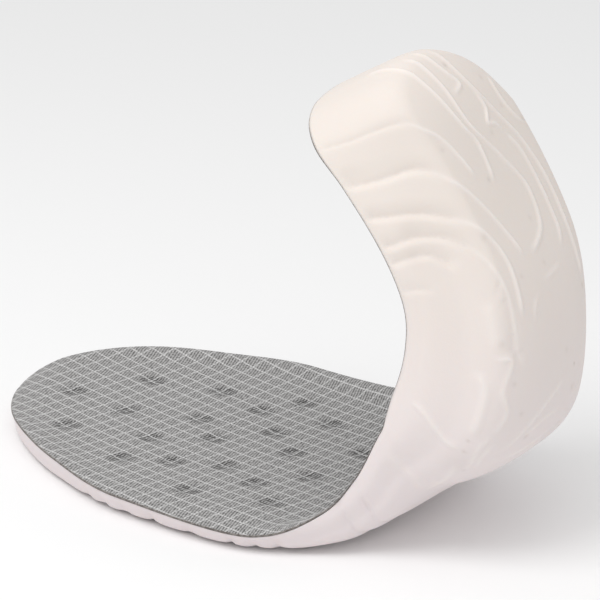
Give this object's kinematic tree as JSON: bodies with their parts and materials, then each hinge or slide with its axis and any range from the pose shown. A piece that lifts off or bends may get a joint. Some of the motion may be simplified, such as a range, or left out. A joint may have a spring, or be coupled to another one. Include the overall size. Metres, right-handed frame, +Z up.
{
  "type": "shoe insole",
  "caption": "Cushioned insole for a left shoe, lying on its forefoot with the heel curled up: moulded foam with a deep heel cup and folded side wall, under a thin woven cover for the foot.",
  "frame": {"origin": "on the flat of the sole, under the ball of the foot", "axes": "+X from the toe towards the heel, +Y towards the big toe's side, +Z up"},
  "size_m": [0.1547, 0.0954, 0.1141],
  "materials": {
    "foam": "matte moulded foam",
    "cover": "woven cloth with a fine raised grid"
  },
  "bodies": {
    "root": {"foam_base": "foam", "top_cover": "cover"}
  },
  "joints": []
}
